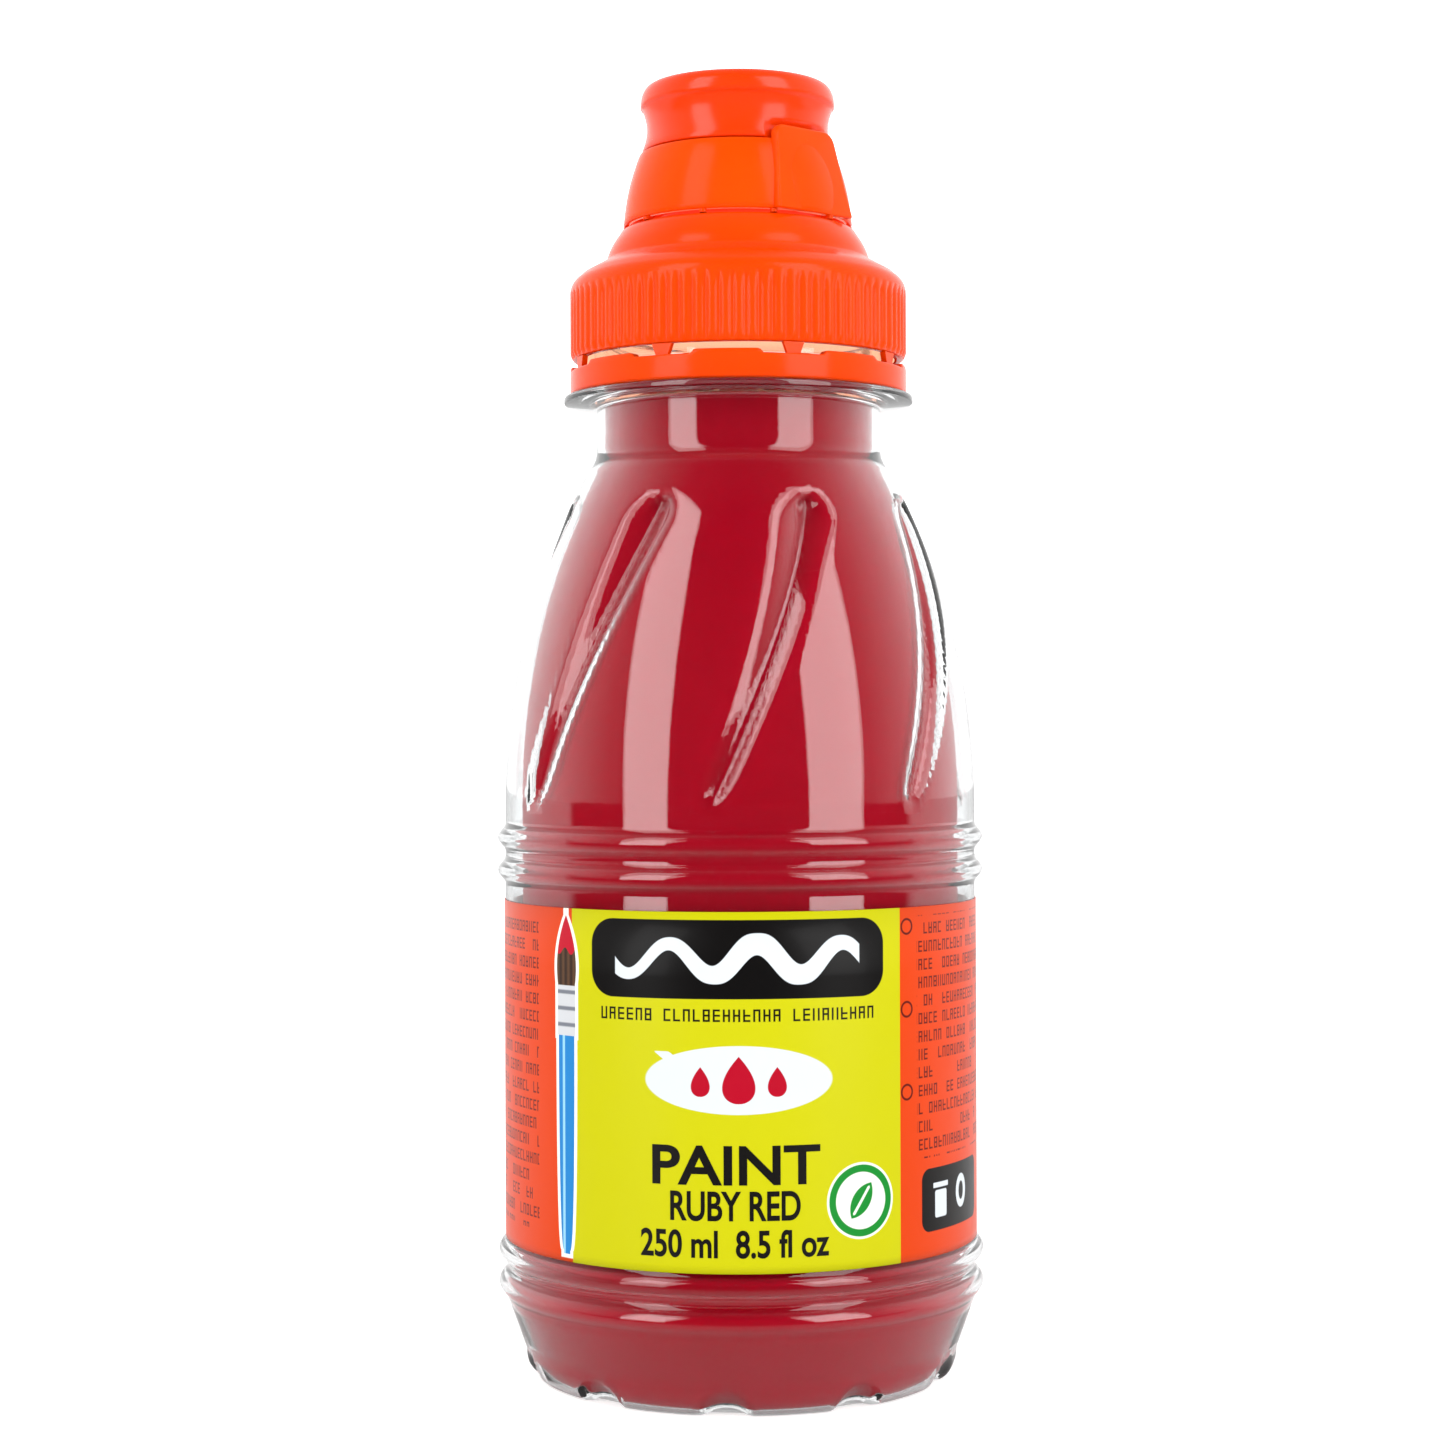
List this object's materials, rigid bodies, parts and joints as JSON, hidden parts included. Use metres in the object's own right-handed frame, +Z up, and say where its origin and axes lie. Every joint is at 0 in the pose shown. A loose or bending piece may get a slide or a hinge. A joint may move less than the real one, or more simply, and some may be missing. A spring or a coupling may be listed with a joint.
{
  "type": "paint bottle",
  "caption": "Clear squeeze bottle of crimson poster paint with a slant-fluted shoulder, wrap-round label and orange screwed push-pull cap with a tamper band and tear strip.",
  "frame": {"origin": "centre of the foot, on the plane the bottle stands on", "axes": "+Z up along the bottle's axis, front of the label towards -Y"},
  "size_m": [0.0596, 0.0596, 0.158],
  "materials": {
    "clear_pet": "clear gloss PET",
    "crimson_paint": "wet crimson gouache",
    "printed_label": "gloss printed film",
    "orange_cap": "gloss orange polypropylene",
    "white_foam": "closed-cell foam"
  },
  "bodies": {
    "filled_bottle": {"bottle": "clear_pet", "paint": "crimson_paint", "label": "printed_label", "tamper_band": "orange_cap", "band_bridges": "orange_cap"},
    "seal": {"seal_ring": "white_foam"},
    "cap": {"screw_cap": "orange_cap", "tear_strip": "orange_cap", "strip_bridges": "orange_cap"},
    "push_pull_spout": {"spout": "orange_cap"}
  },
  "joints": [
    {"name": "screw_lift", "type": "slide", "parent": "filled_bottle", "child": "seal", "axis": [0, 0, 1], "range_m": [0, 0.01059]},
    {"name": "cap_turn", "type": "hinge", "parent": "seal", "child": "cap", "pos_m": [0, 0, 0.1338], "axis": [0, 0, 1], "range_deg": [0, 900]},
    {"name": "spout_pull", "type": "slide", "parent": "cap", "child": "push_pull_spout", "axis": [0, 0, 1], "range_m": [0, 0.0055]}
  ],
  "couplings": [
    {"joint": "screw_lift", "follows": "cap_turn", "m_per_rad": 0.00067323}
  ]
}
